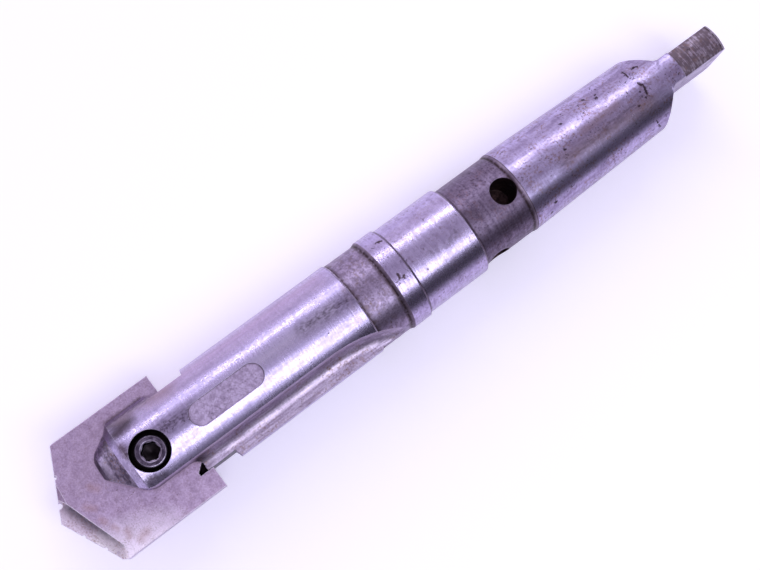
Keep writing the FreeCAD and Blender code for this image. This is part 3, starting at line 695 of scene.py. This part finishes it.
def ridge_tree():
    """Geometry nodes that wrap a grid round the Z axis and roll ridges into it: a thread where the ridges
    climb, and a straight knurl where they don't."""
    tree = bpy.data.node_groups.new("rolled_ridges", "GeometryNodeTree")
    tree.interface.new_socket("Geometry", in_out="OUTPUT", socket_type="NodeSocketGeometry")
    sockets = {}
    for name, kind in (("Radius", "Float"), ("Depth", "Float"), ("Bottom", "Float"), ("Top", "Float"),
                       ("Ridges Around", "Float"), ("Climb Per Turn", "Float"), ("Fade", "Float"),
                       ("Start Angle", "Float"), ("Steps Around", "Int"), ("Steps Up", "Int"),
                       ("Material", "Material")):
        sockets[name] = tree.interface.new_socket(name, in_out="INPUT", socket_type="NodeSocket" + kind)
    given = add(tree, "NodeGroupInput", out=0).node.outputs
    columns = add(tree, "ShaderNodeMath", {0: given["Steps Around"], 1: 1.0}, operation="ADD")
    rows = add(tree, "ShaderNodeMath", {0: given["Steps Up"], 1: 1.0}, operation="ADD")
    sheet = add(tree, "GeometryNodeMeshGrid", {"Size X": 1.0, "Size Y": 1.0, "Vertices X": columns,
                                                "Vertices Y": rows})
    flat = add(tree, "ShaderNodeSeparateXYZ", {0: add(tree, "GeometryNodeInputPosition")}).node.outputs
    turns = add(tree, "ShaderNodeMath", {0: flat["X"], 1: 0.5}, operation="ADD")
    share = add(tree, "ShaderNodeMath", {0: flat["Y"], 1: 0.5}, operation="ADD")
    angle = add(tree, "ShaderNodeMath", {0: turns, 1: math.tau, 2: given["Start Angle"]},
                operation="MULTIPLY_ADD")
    height = add(tree, "ShaderNodeMapRange", {0: share, 3: given["Bottom"], 4: given["Top"]})
    climb = add(tree, "ShaderNodeMath", {0: height, 1: given["Climb Per Turn"]}, operation="MULTIPLY")
    phase = add(tree, "ShaderNodeMath", {0: turns, 1: given["Ridges Around"], 2: climb},
                operation="MULTIPLY_ADD")
    wave = add(tree, "ShaderNodeMath", {0: phase, 1: 0.5}, operation="PINGPONG")
    below = add(tree, "ShaderNodeMath", {0: height, 1: given["Bottom"]}, operation="SUBTRACT")
    above = add(tree, "ShaderNodeMath", {0: given["Top"], 1: height}, operation="SUBTRACT")
    nearest = add(tree, "ShaderNodeMath", {0: below, 1: above}, operation="MINIMUM")
    fade = add(tree, "ShaderNodeMapRange", {0: nearest, 1: 0.0, 2: given["Fade"], 3: 0.0, 4: 2.0}, clamp=True)
    rise = add(tree, "ShaderNodeMath", {0: wave, 1: fade}, operation="MULTIPLY")
    cut = add(tree, "ShaderNodeMath", {0: rise, 1: given["Depth"]}, operation="MULTIPLY")
    radius = add(tree, "ShaderNodeMath", {0: given["Radius"], 1: cut}, operation="SUBTRACT")
    along_x = add(tree, "ShaderNodeMath", {0: angle}, operation="COSINE")
    along_y = add(tree, "ShaderNodeMath", {0: angle}, operation="SINE")
    x = add(tree, "ShaderNodeMath", {0: along_x, 1: radius}, operation="MULTIPLY")
    y = add(tree, "ShaderNodeMath", {0: along_y, 1: radius}, operation="MULTIPLY")
    wrapped = add(tree, "ShaderNodeCombineXYZ", {"X": x, "Y": y, "Z": height})
    band = add(tree, "GeometryNodeSetPosition", {"Geometry": sheet, "Position": wrapped})
    closed = add(tree, "GeometryNodeMergeByDistance", {"Geometry": band, "Distance": BAND_MERGE * MM})
    solid = add(tree, "GeometryNodeRealizeInstances", {"Geometry": closed})
    made = add(tree, "GeometryNodeSetMaterial", {"Geometry": solid, "Material": given["Material"]})
    add(tree, "NodeGroupOutput", {"Geometry": made})
    return tree, {name: socket.identifier for name, socket in sockets.items()}


def rolled_band(tree, names, values):
    """Plain mesh of one band of ridges."""
    carrier = bpy.data.objects.new("band", bpy.data.meshes.new("band"))
    bpy.context.scene.collection.objects.link(carrier)
    modifier = carrier.modifiers.new("ridges", "NODES")
    modifier.node_group = tree
    for name, value in values.items():
        modifier[names[name]] = value
    solved = carrier.evaluated_get(bpy.context.evaluated_depsgraph_get())
    mesh = bpy.data.meshes.new_from_object(solved)
    carrier.modifiers.remove(modifier)
    bpy.data.objects.remove(carrier)
    return mesh


def circle(radius, height):
    angles = [HEX_TURN + math.tau * step / ROUND_STEPS for step in range(ROUND_STEPS)]
    return [(radius * math.cos(a) * MM, radius * math.sin(a) * MM, height * MM) for a in angles]


def hexagon(flat, height, corner):
    """Ring of points on a hexagon whose corners are rounded off at a radius from the axis."""
    points = []
    for step in range(ROUND_STEPS):
        turned = math.tau * step / ROUND_STEPS
        side = turned % (math.tau / 6) - math.tau / 12
        radius = min(flat / math.cos(side), corner)
        angle = HEX_TURN + turned
        points.append((radius * math.cos(angle) * MM, radius * math.sin(angle) * MM, height * MM))
    return points


def skin(shape, rings, close_last):
    """Faces between rings of points that follow each other, and over the last one."""
    made = [[shape.verts.new(point) for point in ring] for ring in rings]
    for lower, upper in zip(made, made[1:]):
        for i in range(ROUND_STEPS):
            j = (i + 1) % ROUND_STEPS
            shape.faces.new((lower[i], lower[j], upper[j], upper[i]))
    if close_last:
        shape.faces.new(made[-1])


def clamp_screw():
    """Socket head cap screw with a rolled thread, a knurled head and a broached hexagon."""
    knurl_bottom, knurl_top = HEAD_SEAT + KNURL_FROM_SEAT, HEAD_TOP - KNURL_FROM_TOP
    thread_top = HEAD_SEAT - SHANK_PLAIN
    thread_bottom = SCREW_TIP + THREAD_FROM_TIP
    turns = (thread_top - thread_bottom) / THREAD_PITCH
    tree, names = ridge_tree()
    shape = bmesh.new()
    for values in (
        {"Radius": HEAD_RADIUS * MM, "Depth": KNURL_DEPTH * MM, "Bottom": knurl_bottom * MM,
         "Top": knurl_top * MM, "Ridges Around": float(KNURL_RIDGES), "Climb Per Turn": 0.0,
         "Fade": KNURL_FADE * MM, "Start Angle": HEX_TURN, "Steps Around": ROUND_STEPS,
         "Steps Up": KNURL_STEPS, "Material": screw_oxide},
        {"Radius": SCREW_RADIUS * MM, "Depth": THREAD_DEPTH * MM, "Bottom": thread_bottom * MM,
         "Top": thread_top * MM, "Ridges Around": 1.0, "Climb Per Turn": -1 / (THREAD_PITCH * MM),
         "Fade": THREAD_FADE * MM, "Start Angle": HEX_TURN, "Steps Around": ROUND_STEPS,
         "Steps Up": round(turns * THREAD_STEPS), "Material": screw_oxide},
    ):
        shape.from_mesh(rolled_band(tree, names, values))
    corner = HEX_FLAT / math.cos(math.tau / 12) - HEX_CORNER_ROUNDING
    mouth = (HEX_FLAT + HEX_FLARE) / math.cos(math.tau / 12) - HEX_CORNER_ROUNDING
    skin(shape, [
        circle(HEAD_RADIUS, knurl_top),
        circle(HEAD_RADIUS, HEAD_TOP - 0.4),
        circle(HEAD_RADIUS - 0.08, HEAD_TOP - 0.2),
        circle(HEAD_RADIUS - 0.32, HEAD_TOP - 0.02),
        circle(HEAD_RADIUS - 0.42, HEAD_TOP),
        circle(mouth + 0.25, HEAD_TOP),
        circle(mouth + 0.19, HEAD_TOP - 0.02),
        circle(mouth - 0.02, HEAD_TOP - 0.2),
        hexagon(HEX_FLAT + HEX_FLARE, HEAD_TOP - 0.34, mouth),
        hexagon(HEX_FLAT, HEAD_TOP - 0.9, corner),
        hexagon(HEX_FLAT, HEAD_TOP - HEX_DEPTH, corner),
        circle(HEX_FLAT - 0.1, HEAD_TOP - HEX_DEPTH - 0.05),
        circle(0.15, HEAD_TOP - HEX_DEPTH - 0.9),
    ], True)
    skin(shape, [
        circle(HEAD_RADIUS, knurl_bottom),
        circle(HEAD_RADIUS, HEAD_SEAT + 0.15),
        circle(HEAD_RADIUS - 0.15, HEAD_SEAT),
        circle(SCREW_RADIUS + 0.2, HEAD_SEAT),
        circle(SCREW_RADIUS, HEAD_SEAT - 0.2),
        circle(SCREW_RADIUS, thread_top),
    ], False)
    skin(shape, [
        circle(SCREW_RADIUS, thread_bottom),
        circle(SCREW_RADIUS - 0.05, thread_bottom - 0.05),
        circle(SCREW_RADIUS - 0.5, SCREW_TIP),
        circle(1.0, SCREW_TIP),
        circle(0.3, SCREW_TIP + 0.15),
    ], True)
    bmesh.ops.remove_doubles(shape, verts=shape.verts, dist=SCREW_MERGE * MM)
    bmesh.ops.recalc_face_normals(shape, faces=shape.faces)
    bmesh.ops.translate(shape, verts=shape.verts, vec=(SCREW_STATION * MM, 0, 0))
    mesh = bpy.data.meshes.new("clamp_screw_piece")
    shape.to_mesh(mesh)
    shape.free()
    mesh.materials.clear()
    mesh.materials.append(screw_oxide)
    mesh.materials.append(socket_oxide)
    mesh.materials.append(screw_worn)
    for facet in mesh.polygons:
        x, y, z = facet.center / MM
        inside = math.hypot(x - SCREW_STATION, y) < mouth and HEAD_SEAT < z < HEAD_TOP - MOUTH_DEPTH
        rim = z > HEAD_TOP - MOUTH_DEPTH and facet.normal.z < 0.99
        facet.material_index = 1 if inside else 2 if rim else 0
    mesh.shade_smooth()
    mesh.set_sharp_from_angle(angle=math.radians(SCREW_BEND))
    piece = bpy.data.objects.new("clamp_screw_piece", mesh)
    bpy.context.scene.collection.objects.link(piece)
    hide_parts("clamp_screw")
    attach(piece, "screw")


def aim_camera():
    """Camera at the photo's place, turned about its line of sight so that the drill lies aslant."""
    data = bpy.data.cameras.new("photo_camera")
    data.lens = CAMERA_LENS
    data.sensor_width = SENSOR_WIDTH
    data.sensor_fit = "HORIZONTAL"
    data.clip_start = CLIP_START
    camera = bpy.data.objects.new("photo_camera", data)
    bpy.context.scene.collection.objects.link(camera)
    look = (CAMERA_AIM - CAMERA_AT).normalized()
    right = look.cross(Vector((0, 1, 0))).normalized()
    up = right.cross(look)
    turned_up = math.cos(CAMERA_ROLL) * up - math.sin(CAMERA_ROLL) * right
    turned_right = look.cross(turned_up)
    camera.matrix_world = Matrix.Translation(CAMERA_AT) @ Matrix((
        (turned_right.x, turned_up.x, -look.x, 0),
        (turned_right.y, turned_up.y, -look.y, 0),
        (turned_right.z, turned_up.z, -look.z, 0),
        (0, 0, 0, 1),
    ))
    bpy.context.scene.camera = camera


def white_sheet():
    """White paper under the drill: it keeps a soft violet shade close to the drill and is plain white further
    off, to the eye and in the metal. Low on the -Y side it turns dark to glossy rays alone, which paints a dark
    reflection into the metal there; the paper itself goes on."""
    bpy.ops.mesh.primitive_plane_add(size=FLOOR_SIZE, location=(0, 0, FLOOR_HEIGHT * MM))
    floor = bpy.context.object
    floor.name = "white_sheet"
    material = bpy.data.materials.new("white_paper")
    material.use_nodes = True
    tree = material.node_tree
    tree.nodes.clear()
    path = add(tree, "ShaderNodeLightPath").node.outputs
    seen = add(tree, "ShaderNodeMath", {0: path["Is Camera Ray"], 1: path["Is Glossy Ray"]},
               operation="MAXIMUM")
    seen = add(tree, "ShaderNodeMath", {0: seen, 1: path["Is Transmission Ray"]}, operation="MAXIMUM")
    share = add(tree, "ShaderNodeMath", {0: seen, 1: FLOOR_GLOW}, operation="MULTIPLY")
    place = add(tree, "ShaderNodeTexCoord", out="Object")
    along = add(tree, "ShaderNodeSeparateXYZ", {0: place}, out="Y")
    # Painted dark reflection: past these distances on the -Y side glossy rays see the paper dark
    painted_dark_reflection = add(tree, "ShaderNodeMapRange", {
        0: along, 1: DARK_REFLECTION_NEAR * MM, 2: DARK_REFLECTION_FAR * MM, 3: 0.0, 4: DARK_REFLECTION_DEPTH,
    }, clamp=True)
    painted_dark_reflection = add(tree, "ShaderNodeMath", {0: painted_dark_reflection, 1: path["Is Glossy Ray"]}, operation="MULTIPLY")
    paper = add(tree, "ShaderNodeBsdfDiffuse", {"Color": linear(PAPER_TINT)})
    glow = add(tree, "ShaderNodeEmission", {"Color": linear(GLOW_TINT), "Strength": share})
    sheet = add(tree, "ShaderNodeAddShader", {0: paper, 1: glow})
    spread = add(tree, "ShaderNodeVectorMath", {0: place}, out="Value", operation="LENGTH")
    far = add(tree, "ShaderNodeMapRange", {
        0: spread, 1: PLAIN_FROM * MM, 2: PLAIN_BEYOND * MM, 3: 0.0, 4: 1.0,
    }, clamp=True, interpolation_type="SMOOTHSTEP")
    far = add(tree, "ShaderNodeMath", {0: far, 1: seen}, operation="MULTIPLY")
    plain = add(tree, "ShaderNodeEmission", {"Color": linear("#ffffff"), "Strength": 1.0})
    sheet = add(tree, "ShaderNodeMixShader", {0: far, 1: sheet, 2: plain})
    dark = add(tree, "ShaderNodeEmission", {"Strength": 0.0})
    shown = add(tree, "ShaderNodeMixShader", {0: painted_dark_reflection, 1: sheet, 2: dark})
    add(tree, "ShaderNodeOutputMaterial", {"Surface": shown})
    floor.data.materials.append(material)


def ceiling_lamp(name, centre, length, width, turn, brightness):
    """Flat soft lamp on the ceiling: its centre, length and width in m, its turn about the vertical in
    degrees, and its brightness, where 1 is white."""
    data = bpy.data.lights.new(name, "AREA")
    data.shape = "RECTANGLE"
    data.size = length
    data.size_y = width
    data.color = linear(LAMP_TINT)[:3]
    data.energy = brightness * math.pi * length * width
    lamp = bpy.data.objects.new(name, data)
    lamp.location = (*centre, CEILING)
    lamp.rotation_euler = (0, 0, math.radians(turn))
    bpy.context.scene.collection.objects.link(lamp)


def room():
    """World that is bright overhead and on the +Y side, and dark low down on the -Y side."""
    world = bpy.data.worlds.new("room")
    world.use_nodes = True
    tree = world.node_tree
    tree.nodes.clear()
    direction = add(tree, "ShaderNodeTexCoord", out="Generated")
    lit = add(tree, "ShaderNodeVectorMath", {0: direction, 1: BRIGHT_SIDE}, out="Value",
              operation="DOT_PRODUCT")
    level = add(tree, "ShaderNodeMapRange", {0: lit, 1: -0.6, 2: 0.5, 3: DARK_WALL, 4: BRIGHT_WALL},
                clamp=True, interpolation_type="SMOOTHSTEP")
    side = add(tree, "ShaderNodeSeparateXYZ", {0: direction}, out="Y")
    window = add(tree, "ShaderNodeMapRange", {0: side, 1: 0.6, 2: 1.0, 3: 0.0, 4: WINDOW_RISE}, clamp=True)
    level = add(tree, "ShaderNodeMath", {0: level, 1: window}, operation="ADD")
    back = add(tree, "ShaderNodeBackground", {"Color": linear(ROOM_TINT), "Strength": level})
    add(tree, "ShaderNodeOutputWorld", {"Surface": back})
    bpy.context.scene.world = world


dress("holder_body", "holder_piece", "holder", holder_finish, HOLDER_BEND, (
    taper_ground, body_ground, land_ground, collar_ground, marking_turned, turned_lead, coolant_turned,
    tang_turned))
dress("spade_blade", "blade_piece", "blade", blade_finish, BLADE_BEND)
clamp_screw()
aim_camera()
white_sheet()
ceiling_lamp("broad_lamp", (0.03, -0.55), 1.05, 0.38, -49, 4.0)
ceiling_lamp("narrow_lamp", (0.215, 1.23), 1.8, 0.13, -59, 11.0)
room()
bpy.context.scene.view_settings.view_transform = "Standard"
